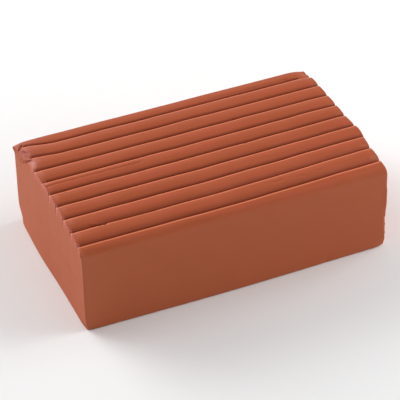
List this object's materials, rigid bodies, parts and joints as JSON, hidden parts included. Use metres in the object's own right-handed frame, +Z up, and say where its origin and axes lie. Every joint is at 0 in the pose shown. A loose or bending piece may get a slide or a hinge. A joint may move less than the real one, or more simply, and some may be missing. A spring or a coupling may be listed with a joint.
{
  "type": "clay bar",
  "caption": "Rectangular bar of detailing clay with a ribbed upper face, smooth sides, a flat underside and wire-cut ends.",
  "frame": {"origin": "middle of the bar's box, on its flat underside", "axes": "+X along the ribs, +Y to the back across the ribs, +Z up through the ribbed face"},
  "size_m": [0.09, 0.054, 0.0279],
  "materials": {
    "clay": "satin"
  },
  "bodies": {
    "root": {"clay_bar": "clay"}
  },
  "joints": []
}
